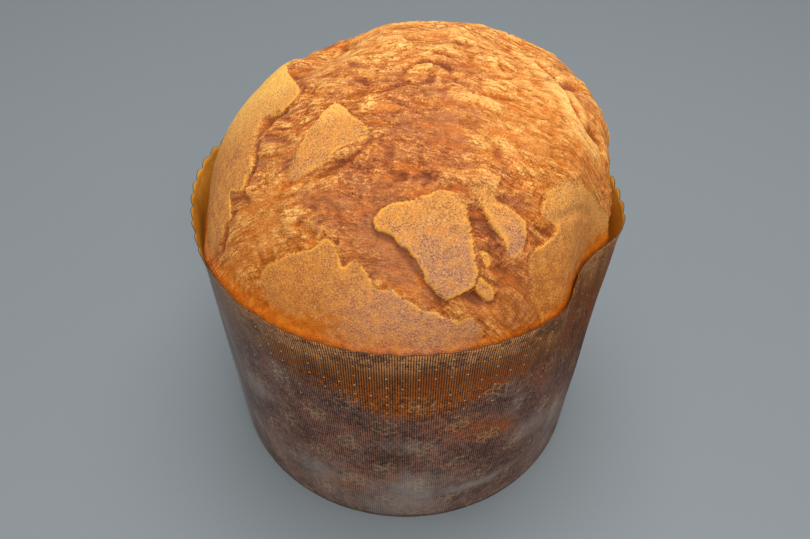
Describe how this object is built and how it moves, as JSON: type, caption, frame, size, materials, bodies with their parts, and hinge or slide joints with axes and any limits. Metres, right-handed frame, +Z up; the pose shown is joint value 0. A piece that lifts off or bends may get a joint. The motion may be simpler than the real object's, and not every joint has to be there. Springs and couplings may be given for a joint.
{
  "type": "panettone",
  "caption": "Tall sweet loaf with a torn, browned dome, standing in its brown paper baking case with a scalloped rim.",
  "frame": {"origin": "centre of the case's flat base, on the surface that the panettone stands on", "axes": "+Z up along the case's axis; -Y towards the side with the large smooth piece of crust above the rim; +X towards the side that the dome leans to"},
  "size_m": [0.154, 0.154, 0.1645],
  "materials": {
    "crust": "matt, golden-brown baked crust with tan skin plates and torn, fibrous red-brown crumb between them",
    "case_paper": "brown greaseproof baking paper, finely ribbed, with a satin sheen and fine tan print"
  },
  "bodies": {
    "root": {"bread": "crust", "paper_case": "case_paper"}
  },
  "joints": []
}
